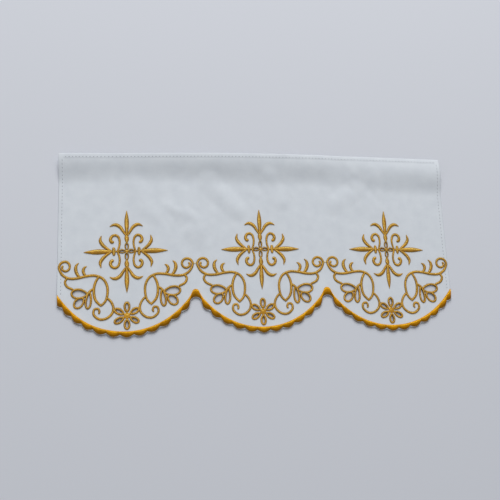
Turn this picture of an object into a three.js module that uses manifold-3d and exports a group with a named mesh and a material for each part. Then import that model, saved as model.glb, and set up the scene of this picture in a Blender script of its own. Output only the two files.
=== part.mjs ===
// An altar cloth: one white sheet with three scallops along its front edge. Each scallop
// carries a cross, two scrolls with cut-out petals, and a flower with cut-out petals, all
// sewn in gold thread, and a gold edging follows the scallops. The cloth lies flat, with
// a soft fold along its plain back edge, and its scallops lift a little at the front.
// Millimetres, +Z up, scallops towards -Y, origin under the middle of the cloth.
import * as THREE from 'three';
import { mergeVertices } from 'three/addons/utils/BufferGeometryUtils.js';
import Module from 'manifold-3d';

const wasm = await Module();
wasm.setup();

// The sheet.
const scallopCount = 3;
const scallopPitch = 200;
const halfPitch = scallopPitch / 2;
const sideInset = 1;
const clothWidth = scallopCount * scallopPitch - 2 * sideInset;
const clothDepth = 274;
const clothThickness = 1.2;
const gridStepX = 18;
const gridStepY = 14;

// The scalloped edge, in polar form about a point just below each cross's centre.
const arcCentreY = -1.3;
const bumpsPerHalf = 6;
const stepsPerBump = 4;
const innerRadius = 114.9;
const notchRadius = 120.2;
const bumpHeight = 4;
const rawEdge = 0.9;
const valleyTuck = 2.2;
const valleyTuckStart = 0.8;
const valleyCapRadius = 5.4;
const valleyCapY = -63.6;
const valleyArchRadius = 10.1;
const valleyArchY = -81.3;
const flankDip = 1.3;
const edgingHeight = 1.9;
const edgingCrest = 0.45;

// Where the crosses' centres lie, so that the bumps' tips end on the cloth's depth.
const crossLine = notchRadius + bumpHeight + rawEdge - arcCentreY - clothDepth / 2;

// The thread's relief and the small gaps between neighbouring pieces.
const threadHeight = 1.4;
const pieceGap = 0.3;
const fullWidth = 3.6;
const stepTurn = 40;
const stepLength = 16;
const fewestSpans = 4;
const curlStep = 45;
const curlPower = 0.7;
const loopSteps = 8;
const smallLoopSteps = 6;
const loopWidth = 3.4;
const smallLoopWidth = 2.2;
const openingInset = 0.4;

// One scroll, the right-hand one. Places are x and y from the cross's centre, a curl is a
// spiral, and widths are the stroke's widths at its start, where it is widest or narrowest,
// which is half-way along it or at widestAt, and at its end.
const scrollStrokes = [
  { name: 'stem from the spiral to the leaf\'s tip',
    curl: { x: 87.6, y: -20.7, fromRadius: 3.4, toRadius: 9.3, fromAngle: 40, toAngle: -400 },
    points: [[90.5, -32.6], [82, -37.2], [70, -37.6], [55, -34.9], [43, -34.6], [32.5, -39.5],
      [26.9, -49.5], [26.2, -61], [28.7, -71.5], [34.4, -78.3]],
    widths: [3.5, 4.1, 3.6] },
  { name: 'outer side of the leaf',
    points: [[37.7, -35.5], [42.8, -45], [44.9, -56], [42.3, -70], [34, -79.4]],
    widths: [3.5, 4.3, 3.5] },
  { name: 'tail below the leaf',
    points: [[26.3, -67.5], [21, -74], [18.3, -82], [20.3, -90.5], [28.5, -97.2], [37.5, -97.4],
      [45, -90.2], [43.8, -83.4], [39, -82.6], [36.9, -86.8], [38.3, -90]],
    widths: [3.5, 3.9, 3.3] },
  { name: 'edge of the wing',
    points: [[83.5, -36], [87.3, -42], [84.8, -48.5], [75, -53.8]],
    widths: [3.5, 3.9, 3.5] },
  { name: 'branch to the petals',
    points: [[44.4, -53.2], [48.8, -55.8], [53, -59.7]],
    widths: [3.3, 3.8, 3.5] },
  { name: 'long tendril',
    points: [[64.8, -37.6], [69.5, -31], [71.5, -25], [70.5, -19], [66.8, -15.2]],
    widths: [3.4, 5.5, 0.9],
    widestAt: 0.55 },
  { name: 'short tendril',
    points: [[56.2, -35.2], [59.7, -30], [60.2, -26], [58.3, -22.5], [55, -20.5]],
    widths: [3.2, 4.9, 0.9],
    widestAt: 0.55 },
];

// The scroll's three cut-out petals, each a loop from its base to its tip.
const scrollLoops = [
  { name: 'wide petal', base: [54, -61.3], tip: [77.4, -59.2], halfWidth: 7.2, pinch: 0.4 },
  { name: 'long petal', base: [51, -57.3], tip: [53.4, -81.4], halfWidth: 4.6, pinch: 0.7 },
  { name: 'small petal', base: [60.2, -67], tip: [72, -79.1], halfWidth: 6.3, pinch: 0.2 },
];

// The cross. A stroke is repeated across x, across y or across both, and a doubled one
// goes on from its last point to the mirror image of its first.
const crossStrokes = [
  { name: 'upright lance', across: 'y', points: [[0, 24], [0, 61]], widths: [2.6, 6.9, 0.6] },
  { name: 'bud', across: 'y', points: [[0, 12], [0, 24]], widths: [1.8, 6.9, 4], widestAt: 0.6 },
  { name: 'upright curl', across: 'both',
    points: [[0.8, 23.2], [5, 29.8], [9, 36], [14, 39.5], [18, 39.8], [23.5, 37.3]],
    widths: [2.8, 5.4, 0.8],
    widestAt: 0.64 },
  { name: 'level lance', across: 'x', points: [[18.8, 0], [60, 0]], widths: [2.6, 8.1, 0.6] },
  { name: 'level curl', across: 'both',
    points: [[21.2, 0.5], [28, 5.3], [33.3, 10.6], [36.2, 16.6], [34.8, 24]],
    widths: [2.8, 5.3, 0.9],
    widestAt: 0.6 },
  { name: 'brace', across: 'x', doubled: true,
    points: [[17.5, 13.5], [20.8, 14.2], [22.3, 18], [20.3, 22.5], [15.8, 24.2],
      [11.8, 21.5], [9.9, 15], [10.4, 7.5], [12.4, 0]],
    widths: [4.8, 3.1, 4.8] },
  { name: 'spindle', across: 'x', points: [[17.8, -6.3], [17.8, 6.3]], widths: [2.8, 4.6, 2.8] },
  { name: 'bar', across: 'x', points: [[12.8, 0], [17.6, 0]], widths: [2.2, 2.6, 2.2] },
];
const crossLoops = [
  { name: 'upright eye', across: 'y', base: [0, 2.4], tip: [0, 12.4], halfWidth: 2.4, pinch: 0 },
  { name: 'level eye', across: 'x', base: [2.4, 0], tip: [10.8, 0], halfWidth: 2.4, pinch: 0 },
];
const knotRadius = 2.4;

// The flower at the foot of each scallop.
const flowerY = -94;
const petalCount = 6;
const petalBase = 5.8;
const petalTip = 18.8;
const petalHalfWidth = 3.7;
const petalPinch = 0.35;
const hubRadius = 5.3;
const hubHeight = 1.7;
const domeSides = 10;

// The small bridging stitches between neighbouring spirals.
const linkY = -20;
const linkLength = 1.6;
const linkWidth = 3.4;

// How the cut cloth lies: its middle further back than its ends, drawn out a little from
// back to front, and its left part drawn a little to the left.
const bowMiddle = 1;
const bowSag = 4.5;
const drawnOut = 1.014;
const leftPull = { x: -248, reach: 52, shift: -2.4 };

// The soft fold along the back edge, by stations from left to right: how far its crest
// lies from the edge, how high it rises, and how far in front of it the cloth lies flat.
const backFold = [
  { x: -300, crest: 4, rise: 9, reach: 42 },
  { x: -215, crest: 4, rise: 6.6, reach: 40 },
  { x: -140, crest: 3, rise: 8, reach: 42 },
  { x: -60, crest: 4, rise: 9.6, reach: 44 },
  { x: 20, crest: 5, rise: 9, reach: 46 },
  { x: 90, crest: 9, rise: 8, reach: 40 },
  { x: 140, crest: 12, rise: 5.6, reach: 44 },
  { x: 200, crest: 17, rise: 7, reach: 46 },
  { x: 300, crest: 21, rise: 8.4, reach: 42 },
];
const backFoldLead = 36;

// Soft wrinkles that run down from the fold, each along a line from one end to the other.
const wrinkles = [
  { from: [-76, 94], to: [-34, 50], halfWidth: 17, rise: 2.2 },
  { from: [18, 100], to: [34, 64], halfWidth: 17, rise: 2.2 },
  { from: [-190, 92], to: [-160, 44], halfWidth: 16, rise: 1.3 },
  { from: [-128, 52], to: [-90, 20], halfWidth: 17, rise: 1.3 },
  { from: [118, 58], to: [158, 84], halfWidth: 17, rise: 1.4 },
];

// How the front of each scallop lifts, from left to right.
const scallopLifts = [3.2, 2.6, 3];
const liftStartRadius = 60;
const liftEndRadius = notchRadius + bumpHeight;
const liftStartY = -8;
const liftFullY = -60;

function smooth(value) {
  const t = Math.min(Math.max(value, 0), 1);
  return t * t * (3 - 2 * t);
}

// A station's value at x, eased between the two nearest rows.
function station(rows, column, x) {
  for (let i = 1; i < rows.length; i += 1) {
    const low = rows[i - 1];
    const high = rows[i];
    if (x <= high.x) {
      const t = smooth((x - low.x) / (high.x - low.x));
      return low[column] + (high[column] - low[column]) * t;
    }
  }
  return rows[rows.length - 1][column];
}

function backFoldHeight(x, y) {
  const crestY = clothDepth / 2 - station(backFold, 'crest', x);
  const reach = y > crestY ? backFoldLead : station(backFold, 'reach', x);
  const t = Math.min(Math.abs(y - crestY) / reach, 1);
  return station(backFold, 'rise', x) * Math.cos(t * Math.PI / 2) ** 2;
}

function wrinkleHeight(wrinkle, x, y) {
  const [x0, y0] = wrinkle.from;
  const [x1, y1] = wrinkle.to;
  const dx = x1 - x0;
  const dy = y1 - y0;
  const along = ((x - x0) * dx + (y - y0) * dy) / (dx * dx + dy * dy);
  const t = Math.min(Math.max(along, 0), 1);
  const distance = Math.hypot(x - x0 - dx * t, y - y0 - dy * t) / wrinkle.halfWidth;
  return distance < 1 ? wrinkle.rise * (1 - distance * distance) ** 2 : 0;
}

// The lift grows with the square of the distance from the middle of the scallop.
function scallopLift(x, y) {
  const place = Math.min(Math.max(x / scallopPitch + (scallopCount - 1) / 2, 0), scallopCount - 1);
  const index = Math.min(Math.floor(place), scallopCount - 2);
  const blend = smooth(place - index);
  const lift = scallopLifts[index] * (1 - blend) + scallopLifts[index + 1] * blend;
  const middle = (Math.round(place) - (scallopCount - 1) / 2) * scallopPitch;
  const radius = Math.hypot(x - middle, y - crossLine - arcCentreY);
  const t = Math.max((radius - liftStartRadius) / (liftEndRadius - liftStartRadius), 0);
  const front = smooth((liftStartY - (y - crossLine)) / (liftStartY - liftFullY));
  return lift * t * t * front;
}

// How high the underside of the cloth lies above the surface.
function clothHeight(x, y) {
  let height = backFoldHeight(x, y) + scallopLift(x, y);
  for (const wrinkle of wrinkles) {
    height += wrinkleHeight(wrinkle, x, y);
  }
  return height;
}

// A closed solid from a geometry whose shared vertices are merged.
function toSolid(geometry) {
  const bare = new THREE.BufferGeometry();
  bare.setAttribute('position', geometry.getAttribute('position'));
  bare.setIndex(geometry.getIndex());
  const merged = mergeVertices(bare, 1e-4);
  return new wasm.Manifold(new wasm.Mesh({
    numProp: 3,
    vertProperties: new Float32Array(merged.getAttribute('position').array),
    triVerts: new Uint32Array(merged.getIndex().array),
  }));
}

function joined(solids) {
  return solids.reduce((whole, solid) => whole.add(solid));
}

// Where a point of the cut cloth lies.
function lyingPoint(x, y) {
  const near = Math.max(1 - ((x - leftPull.x) / leftPull.reach) ** 2, 0);
  const bow = bowMiddle - bowSag * (2 * x / clothWidth) ** 2;
  return [x + leftPull.shift * near * near, drawnOut * y + bow];
}

// The geometry of a solid that is set at a place on the cut cloth: each point is moved up
// by what raise gives for it, and to where it lies.
function toGeometry(solid, placeX, placeY, raise) {
  const mesh = solid.getMesh();
  const positions = new Float32Array(mesh.vertProperties);
  for (let i = 0; i < positions.length; i += 3) {
    const x = placeX + positions[i];
    const y = placeY + positions[i + 1];
    positions[i + 2] += raise(x, y);
    [positions[i], positions[i + 1]] = lyingPoint(x, y);
  }
  const geometry = new THREE.BufferGeometry();
  geometry.setAttribute('position', new THREE.BufferAttribute(positions, 3));
  geometry.setIndex(new THREE.BufferAttribute(new Uint32Array(mesh.triVerts), 1));
  geometry.computeVertexNormals();
  return geometry;
}

// A solid lofted through rings of three points: left, right and crest.
function loft(rings, closed) {
  const positions = rings.flat(2);
  const triangles = [];
  const spans = closed ? rings.length : rings.length - 1;
  for (let i = 0; i < spans; i += 1) {
    const here = 3 * i;
    const next = 3 * ((i + 1) % rings.length);
    for (let side = 0; side < 3; side += 1) {
      const other = (side + 1) % 3;
      triangles.push(here + side, next + side, next + other);
      triangles.push(here + side, next + other, here + other);
    }
  }
  if (!closed) {
    const last = 3 * (rings.length - 1);
    triangles.push(0, 1, 2);
    triangles.push(last, last + 2, last + 1);
  }
  const geometry = new THREE.BufferGeometry();
  geometry.setAttribute('position', new THREE.Float32BufferAttribute(positions, 3));
  geometry.setIndex(triangles);
  return toSolid(geometry);
}

// One section of a stroke: its two sides on the cloth and its crest between them.
function strokeRing(point, tangent, width) {
  const length = Math.hypot(tangent.x, tangent.y);
  const offX = -tangent.y / length * width / 2;
  const offY = tangent.x / length * width / 2;
  const crest = threadHeight * Math.min(1, 0.35 + 0.65 * width / fullWidth);
  return [[point.x + offX, point.y + offY, 0], [point.x - offX, point.y - offY, 0],
    [point.x, point.y, crest]];
}

// The width at a share of the stroke's length, eased between its three widths.
function widthAt(stroke, share) {
  const [start, middle, end] = stroke.widths;
  const turn = stroke.widestAt ?? 0.5;
  if (share < turn) {
    return start + (middle - start) * Math.sin(share / turn * Math.PI / 2);
  }
  return end + (middle - end) * Math.cos((share - turn) / (1 - turn) * Math.PI / 2);
}

function curlPoints(curl) {
  const turn = curl.toAngle - curl.fromAngle;
  const steps = Math.ceil(Math.abs(turn) / curlStep);
  const points = [];
  for (let i = 0; i <= steps; i += 1) {
    const share = i / steps;
    const angle = THREE.MathUtils.degToRad(curl.fromAngle + turn * share);
    const radius = curl.fromRadius + (curl.toRadius - curl.fromRadius) * share ** curlPower;
    points.push([curl.x + radius * Math.cos(angle), curl.y + radius * Math.sin(angle)]);
  }
  return points;
}

// A stroke of satin stitch: a low ridge along a smooth line, with a section wherever the
// line has turned or run far enough since the last one.
function strokeSolid(stroke, signX, signY) {
  const places = (stroke.curl ? curlPoints(stroke.curl) : []).concat(stroke.points);
  if (stroke.doubled) {
    places.push(...stroke.points.slice(0, -1).reverse().map(([x, y]) => [x, -y]));
  }
  const knots = places.map(([x, y]) => new THREE.Vector3(signX * x, signY * y, 0));
  const curve = new THREE.CatmullRomCurve3(knots, false, 'centripetal');
  const samples = 24 * knots.length;
  const total = curve.getLength();
  const longest = Math.min(stepLength, total / fewestSpans);
  const rings = [];
  let run = 0;
  let lastRun = 0;
  let lastPoint = curve.getPoint(0);
  let lastHeading = curve.getTangent(0);
  rings.push(strokeRing(lastPoint, lastHeading, widthAt(stroke, 0)));
  for (let i = 1; i <= samples; i += 1) {
    const point = curve.getPoint(i / samples);
    const heading = curve.getTangent(i / samples);
    run += point.distanceTo(lastPoint);
    lastPoint = point;
    const turned = THREE.MathUtils.radToDeg(heading.angleTo(lastHeading)) > stepTurn;
    if (turned || run - lastRun > longest || i === samples) {
      rings.push(strokeRing(point, heading, widthAt(stroke, Math.min(run / total, 1))));
      lastRun = run;
      lastHeading = heading;
    }
  }
  return loft(rings, false);
}

// The line of a loop from its base to its tip, as an oval that is pinched at the base.
function loopLine(loop, steps, inset, signX, signY) {
  const dx = loop.tip[0] - loop.base[0];
  const dy = loop.tip[1] - loop.base[1];
  const length = Math.hypot(dx, dy);
  const line = [];
  for (let i = 0; i < steps; i += 1) {
    const angle = 2 * Math.PI * i / steps;
    const along = inset + (length - 2 * inset) * (1 - Math.cos(angle)) / 2;
    const pinch = Math.abs(Math.sin(angle / 2)) ** loop.pinch;
    const across = (loop.halfWidth - inset) * Math.sin(angle) * pinch;
    line.push([signX * (loop.base[0] + (dx * along - dy * across) / length),
      signY * (loop.base[1] + (dy * along + dx * across) / length)]);
  }
  return line;
}

function loopSolid(loop, steps, width, signX, signY) {
  const line = loopLine(loop, steps, 0, signX, signY).map(([x, y]) => new THREE.Vector2(x, y));
  const rings = line.map((point, i) => {
    const before = line[(i + steps - 1) % steps];
    const after = line[(i + 1) % steps];
    return strokeRing(point, after.clone().sub(before), width);
  });
  return loft(rings, true);
}

// A low round dome, such as the flower's hub.
function domeSolid(radius, height, y) {
  const profile = [[0, 0], [radius, 0], [0.82 * radius, 0.6 * height], [0, height]];
  const outline = profile.map(([r, z]) => new THREE.Vector2(r, z));
  const geometry = new THREE.LatheGeometry(outline, domeSides);
  geometry.rotateX(Math.PI / 2);
  geometry.translate(0, y, 0);
  return toSolid(geometry);
}

// The petals of the flower, as loops about its centre.
function flowerLoops() {
  const loops = [];
  for (let i = 0; i < petalCount; i += 1) {
    const angle = Math.PI / 2 + 2 * Math.PI * i / petalCount;
    loops.push({
      base: [petalBase * Math.cos(angle), flowerY + petalBase * Math.sin(angle)],
      tip: [petalTip * Math.cos(angle), flowerY + petalTip * Math.sin(angle)],
      halfWidth: petalHalfWidth,
      pinch: petalPinch,
    });
  }
  return loops;
}

// The flower, or with a margin, the room that its neighbours leave for it.
function flowerSolid(margin) {
  const petals = flowerLoops().map((loop) => loopSolid(loop, loopSteps, loopWidth + 2 * margin, 1, 1));
  return joined([...petals, domeSolid(hubRadius + margin, hubHeight, flowerY)]);
}

function scrollSolid(side) {
  const strokes = scrollStrokes.map((stroke) => strokeSolid(stroke, side, 1));
  const loops = scrollLoops.map((loop) => loopSolid(loop, loopSteps, loopWidth, side, 1));
  return joined([...strokes, ...loops]).subtract(flowerSolid(pieceGap));
}

const signPairs = {
  x: [[1, 1], [-1, 1]],
  y: [[1, 1], [1, -1]],
  both: [[1, 1], [-1, 1], [1, -1], [-1, -1]],
};

function crossSolid() {
  const solids = [domeSolid(knotRadius, threadHeight, 0)];
  for (const stroke of crossStrokes) {
    for (const [signX, signY] of signPairs[stroke.across]) {
      solids.push(strokeSolid(stroke, signX, signY));
    }
  }
  for (const loop of crossLoops) {
    for (const [signX, signY] of signPairs[loop.across]) {
      solids.push(loopSolid(loop, smallLoopSteps, smallLoopWidth, signX, signY));
    }
  }
  return joined(solids);
}

// How far the edging lies inside a round arc: a little along its flanks, and more as it
// nears a valley that two scallops share. Along a scallop, t runs from -1 at one valley
// through 0 at the foot to 1 at the next valley.
function tuck(step) {
  const near = smooth((Math.abs(step.t) - valleyTuckStart) / (1 - valleyTuckStart));
  const flank = flankDip * 4 * step.t ** 2 * (1 - step.t ** 2);
  return flank + (step.shared ? valleyTuck * near : 0);
}

// A point of a scallop's arc, which meets the valley's line where t is -1 or 1.
function arcPoint(t, radius, endRadius) {
  const angle = t * Math.asin(halfPitch / endRadius);
  return [radius * Math.sin(angle), arcCentreY - radius * Math.cos(angle)];
}

// A point at a distance from a valley's centre point, on the line from there to the point.
function roundedValley(x, y, centreY, radius) {
  const fromX = Math.abs(x) - halfPitch;
  const fromY = y - centreY;
  const reach = radius / Math.hypot(fromX, fromY);
  return [Math.sign(x) * (halfPitch + fromX * reach), centreY + fromY * reach];
}

// The outer edge of the edging, with its bumps. An arch joins the last notches on both
// sides of a shared valley.
function outerPoint(step, margin) {
  const bump = bumpHeight * Math.abs(Math.cos(Math.PI * bumpsPerHalf * step.t));
  const endRadius = notchRadius + bumpHeight - (step.shared ? valleyTuck : 0) + margin;
  const [x, y] = arcPoint(step.t, notchRadius + bump - tuck(step) + margin, endRadius);
  if (!step.shared || Math.abs(step.t) < 1 - 0.5 / bumpsPerHalf) {
    return [x, y];
  }
  return roundedValley(x, y, valleyArchY, valleyArchRadius - margin);
}

// The inner edge of the edging, which rounds each shared valley with a small cap.
function innerPoint(step) {
  const endRadius = innerRadius - (step.shared ? valleyTuck : 0);
  const [x, y] = arcPoint(step.t, innerRadius - tuck(step), endRadius);
  if (!step.shared || Math.abs(x) < halfPitch - valleyCapRadius) {
    return [x, y];
  }
  return roundedValley(x, y, valleyCapY, valleyCapRadius);
}

// Every step along the front edge, from the left valley to the right one.
function frontSteps() {
  const steps = [];
  const perScallop = 2 * bumpsPerHalf * stepsPerBump;
  for (let scallop = 0; scallop < scallopCount; scallop += 1) {
    const middle = (scallop - (scallopCount - 1) / 2) * scallopPitch;
    for (let i = scallop === 0 ? 0 : 1; i <= perScallop; i += 1) {
      const t = 2 * i / perScallop - 1;
      const shared = t < 0 ? scallop > 0 : scallop < scallopCount - 1;
      steps.push({ middle, t, shared });
    }
  }
  return steps;
}

function edgingSolid() {
  const rings = frontSteps().map((step) => {
    const inner = innerPoint(step);
    const outer = outerPoint(step, 0);
    const crest = [0, 1].map((axis) => inner[axis] + (outer[axis] - inner[axis]) * edgingCrest);
    return [[...inner, 0], [...outer, 0], [...crest, edgingHeight]]
      .map(([x, y, z]) => [step.middle + x, crossLine + y, z]);
  });
  const trim = new THREE.BoxGeometry(clothWidth - 2 * pieceGap, clothDepth, 4 * edgingHeight);
  return loft(rings, false).intersect(toSolid(trim));
}

// The sheet before cutting: a grid of points and their copies one thickness higher.
function sheetSolid() {
  const columns = Math.round(clothWidth / gridStepX);
  const rows = Math.round(clothDepth / gridStepY);
  const perLayer = (columns + 1) * (rows + 1);
  const positions = [];
  for (const lift of [0, clothThickness]) {
    for (let j = 0; j <= rows; j += 1) {
      for (let i = 0; i <= columns; i += 1) {
        const x = clothWidth * (i / columns - 0.5);
        const y = clothDepth * (j / rows - 0.5);
        positions.push(x, y, clothHeight(x, y) + lift);
      }
    }
  }
  const at = (i, j, layer) => layer * perLayer + j * (columns + 1) + i;
  const triangles = [];
  const quad = (a, b, c, d) => triangles.push(a, b, c, a, c, d);
  for (let j = 0; j < rows; j += 1) {
    for (let i = 0; i < columns; i += 1) {
      quad(at(i, j, 1), at(i + 1, j, 1), at(i + 1, j + 1, 1), at(i, j + 1, 1));
      quad(at(i, j, 0), at(i, j + 1, 0), at(i + 1, j + 1, 0), at(i + 1, j, 0));
    }
  }
  for (let i = 0; i < columns; i += 1) {
    quad(at(i, 0, 0), at(i + 1, 0, 0), at(i + 1, 0, 1), at(i, 0, 1));
    quad(at(i + 1, rows, 0), at(i, rows, 0), at(i, rows, 1), at(i + 1, rows, 1));
  }
  for (let j = 0; j < rows; j += 1) {
    quad(at(0, j + 1, 0), at(0, j, 0), at(0, j, 1), at(0, j + 1, 1));
    quad(at(columns, j, 0), at(columns, j + 1, 0), at(columns, j + 1, 1), at(columns, j, 1));
  }
  const geometry = new THREE.BufferGeometry();
  geometry.setAttribute('position', new THREE.Float32BufferAttribute(positions, 3));
  geometry.setIndex(triangles);
  return toSolid(geometry);
}

// The outline that cuts the sheet: the scalloped raw edge and every petal's opening.
function outlineSolid() {
  const halfWidth = scallopCount * halfPitch;
  const beyond = clothDepth / 2 + scallopPitch;
  const shape = new THREE.Shape();
  shape.moveTo(-halfWidth, beyond);
  for (const step of frontSteps()) {
    const [x, y] = outerPoint(step, rawEdge);
    shape.lineTo(step.middle + x, crossLine + y);
  }
  shape.lineTo(halfWidth, beyond);
  for (let scallop = 0; scallop < scallopCount; scallop += 1) {
    const middle = (scallop - (scallopCount - 1) / 2) * scallopPitch;
    const lines = flowerLoops().map((loop) => loopLine(loop, loopSteps, openingInset, 1, 1));
    for (const side of [-1, 1]) {
      lines.push(...scrollLoops.map((loop) => loopLine(loop, loopSteps, openingInset, side, 1)));
    }
    for (const line of lines) {
      const corners = line.map(([x, y]) => new THREE.Vector2(middle + x, crossLine + y));
      shape.holes.push(new THREE.Path(corners));
    }
  }
  const geometry = new THREE.ExtrudeGeometry(shape, { depth: scallopPitch, bevelEnabled: false });
  geometry.translate(0, 0, -halfPitch);
  return toSolid(geometry);
}

const clothMaterial = new THREE.MeshStandardMaterial({ color: 0xd6dadf, roughness: 0.85, metalness: 0 });
const threadMaterial = new THREE.MeshStandardMaterial({ color: 0xb07a24, roughness: 0.5, metalness: 0.1 });
const linkMaterial = new THREE.MeshStandardMaterial({ color: 0xe0d6a8, roughness: 0.6, metalness: 0 });

function named(name, geometry, material) {
  const mesh = new THREE.Mesh(geometry, material.clone());
  mesh.name = name;
  return mesh;
}

const cloth = new THREE.Group();
const onCloth = (x, y) => clothHeight(x, y) + clothThickness + pieceGap;

const panel = sheetSolid().intersect(outlineSolid());
cloth.add(named('cloth_panel', toGeometry(panel, 0, 0, () => 0), clothMaterial));
cloth.add(named('scalloped_edging', toGeometry(edgingSolid(), 0, 0, onCloth), threadMaterial));

const motifs = {
  cross: crossSolid(),
  flower: flowerSolid(0),
  scroll_left: scrollSolid(-1),
  scroll_right: scrollSolid(1),
};
for (let scallop = 0; scallop < scallopCount; scallop += 1) {
  const middle = (scallop - (scallopCount - 1) / 2) * scallopPitch;
  for (const [name, solid] of Object.entries(motifs)) {
    const geometry = toGeometry(solid, middle, crossLine, onCloth);
    cloth.add(named(`${name}_${scallop + 1}`, geometry, threadMaterial));
  }
}

const bar = toSolid(new THREE.BoxGeometry(linkLength, linkWidth, threadHeight));
for (let link = 1; link < scallopCount; link += 1) {
  const x = (link - scallopCount / 2) * scallopPitch;
  const raise = (placeX, placeY) => onCloth(placeX, placeY) + threadHeight / 2;
  cloth.add(named(`link_${link}`, toGeometry(bar, x, crossLine + linkY, raise), linkMaterial));
}

export default cloth;
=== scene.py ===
"""An altar cloth, laid flat: white cloth with a scalloped gold edging, gold crosses,
scrolls and flowers in satin stitch, and cut-out petals. Tables are in millimetres."""
import math
import random

import bpy
import numpy as np
from mathutils import Matrix, Vector
from mathutils.geometry import delaunay_2d_cdt


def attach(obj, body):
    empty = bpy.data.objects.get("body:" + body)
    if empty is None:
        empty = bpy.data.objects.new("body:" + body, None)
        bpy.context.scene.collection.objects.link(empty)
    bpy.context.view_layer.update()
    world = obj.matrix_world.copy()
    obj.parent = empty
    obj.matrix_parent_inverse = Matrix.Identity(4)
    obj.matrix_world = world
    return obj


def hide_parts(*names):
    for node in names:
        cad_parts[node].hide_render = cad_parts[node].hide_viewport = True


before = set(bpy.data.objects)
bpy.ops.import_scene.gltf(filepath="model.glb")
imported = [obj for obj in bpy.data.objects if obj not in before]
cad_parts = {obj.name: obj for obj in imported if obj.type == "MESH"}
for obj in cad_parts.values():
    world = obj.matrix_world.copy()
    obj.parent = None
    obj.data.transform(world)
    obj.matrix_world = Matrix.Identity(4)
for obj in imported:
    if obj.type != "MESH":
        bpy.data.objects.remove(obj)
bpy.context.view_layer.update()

MM = 0.001

# The sheet, as in the solids. It lies with its middle further back than its ends, drawn
# out a little from back to front, and with its left part drawn a little to the left.
SCALLOPS = 3
PITCH = 200.0
HALF_PITCH = PITCH / 2
SIDE_INSET = 1.0
WIDTH = SCALLOPS * PITCH - 2 * SIDE_INSET
DEPTH = 274.0
THICKNESS = 0.7
BOW_MIDDLE = 1.0
BOW_SAG = 4.5
DRAWN_OUT = 1.014
LEFT_PULL = {"x": -248, "reach": 52, "shift": -2.4}

# The scalloped edge, in polar form about a point just below each cross's centre.
ARC_CENTRE_Y = -1.3
BUMPS_PER_HALF = 6
INNER_RADIUS = 114.9
NOTCH_RADIUS = 120.2
BUMP_HEIGHT = 4.0
RAW_EDGE = 0.9
RAW_EDGE_AT_BUMP = -0.1
EDGING_WRAP = 0.5
VALLEY_TUCK = 2.2
VALLEY_TUCK_START = 0.8
VALLEY_CAP_RADIUS = 5.4
VALLEY_CAP_Y = -63.6
VALLEY_ARCH_RADIUS = 10.1
VALLEY_ARCH_Y = -81.3
FLANK_DIP = 1.3
CROSS_LINE = NOTCH_RADIUS + BUMP_HEIGHT + RAW_EDGE - ARC_CENTRE_Y - DEPTH / 2

# One scroll, the right-hand one, from the cross's centre. A curl is a spiral, and widths
# are the stroke's widths at its start, where it is widest or narrowest, which is half-way
# along it or at widest_at, and at its end.
SCROLL_STROKES = [
    {"name": "stem", "widths": (3.5, 4.1, 3.6),
     "curl": {"x": 87.6, "y": -20.7, "radii": (3.4, 9.3), "angles": (40, -400)},
     "points": [(90.5, -32.6), (82, -37.2), (70, -37.6), (55, -34.9), (43, -34.6),
                (32.5, -39.5), (26.9, -49.5), (26.2, -61), (28.7, -71.5), (34.4, -78.3)]},
    {"name": "leaf", "widths": (3.5, 4.3, 3.5),
     "points": [(37.7, -35.5), (42.8, -45), (44.9, -56), (42.3, -70), (34, -79.4)]},
    {"name": "tail", "widths": (3.5, 3.9, 3.3),
     "points": [(26.3, -67.5), (21, -74), (18.3, -82), (20.3, -90.5), (28.5, -97.2),
                (37.5, -97.4), (45, -90.2), (43.8, -83.4), (39, -82.6), (36.9, -86.8),
                (38.3, -90)]},
    {"name": "wing", "widths": (3.5, 3.9, 3.5),
     "points": [(83.5, -36), (87.3, -42), (84.8, -48.5), (75, -53.8)]},
    {"name": "branch", "widths": (3.3, 3.8, 3.5),
     "points": [(44.4, -53.2), (48.8, -55.8), (53, -59.7)]},
    {"name": "long tendril", "widths": (3.4, 5.5, 0.9), "widest_at": 0.55,
     "points": [(64.8, -37.6), (69.5, -31), (71.5, -25), (70.5, -19), (66.8, -15.2)]},
    {"name": "short tendril", "widths": (3.2, 4.9, 0.9), "widest_at": 0.55,
     "points": [(56.2, -35.2), (59.7, -30), (60.2, -26), (58.3, -22.5), (55, -20.5)]},
]
SCROLL_LOOPS = [
    {"name": "wide petal", "base": (54, -61.3), "tip": (77.4, -59.2), "half": 7.2, "pinch": 0.4},
    {"name": "long petal", "base": (51, -57.3), "tip": (53.4, -81.4), "half": 4.6, "pinch": 0.7},
    {"name": "small petal", "base": (60.2, -67), "tip": (72, -79.1), "half": 6.3, "pinch": 0.2},
]

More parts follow.
